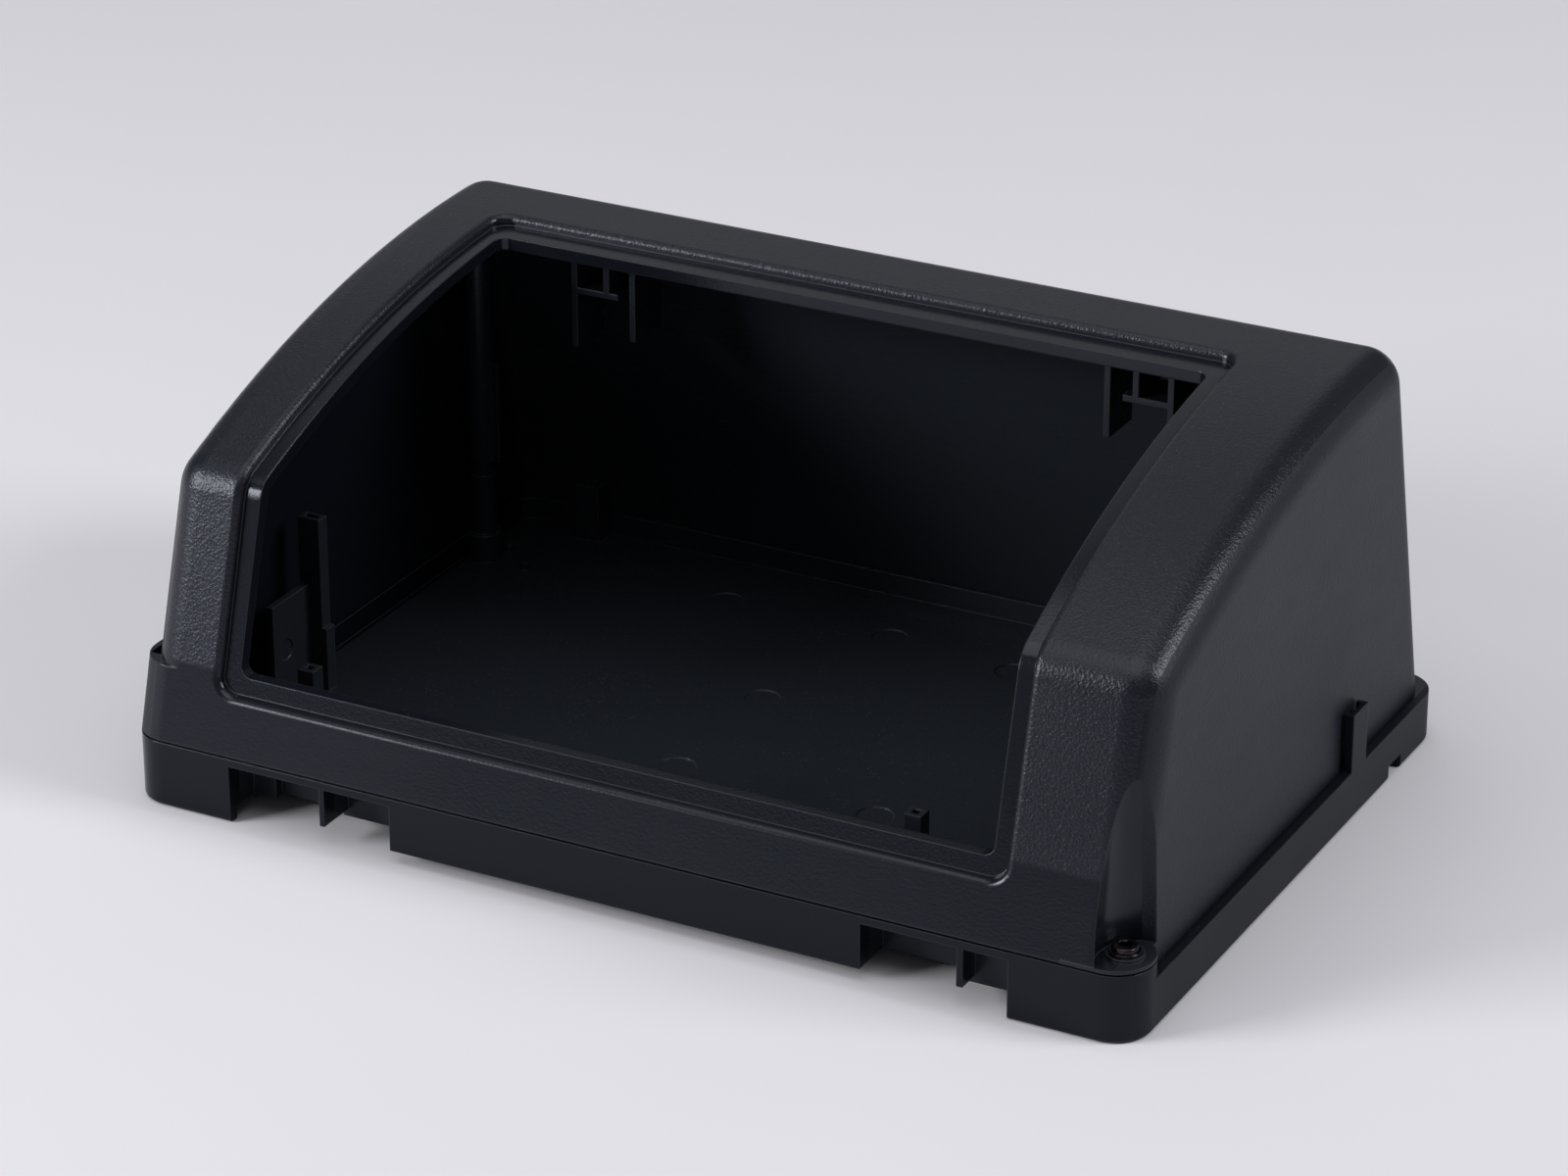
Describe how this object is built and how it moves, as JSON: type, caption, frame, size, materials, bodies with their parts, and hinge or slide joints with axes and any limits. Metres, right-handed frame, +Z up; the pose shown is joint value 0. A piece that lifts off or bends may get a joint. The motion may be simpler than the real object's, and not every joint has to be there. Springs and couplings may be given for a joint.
{
  "type": "plastic housing",
  "caption": "Two-part moulded desktop housing with a leaning front, a curved sloping top and a large window opening that wraps over the front edge, screwed to a shallow tray.",
  "frame": {"origin": "centre of the tray's underside, at the level it stands on", "axes": "+X to the housing's right seen from the front, +Y to the rear, +Z up"},
  "size_m": [0.2, 0.138, 0.0831],
  "materials": {
    "cover_black": "fine spark-eroded grain, satin band below the window",
    "tray_black": "satin",
    "screw_black": "black oxide, satin"
  },
  "bodies": {
    "root": {"upper_cover": "cover_black", "base_tray": "tray_black", "screw_front_right": "screw_black", "screw_front_left": "screw_black", "screw_rear_right": "screw_black", "screw_rear_left": "screw_black"}
  },
  "joints": []
}
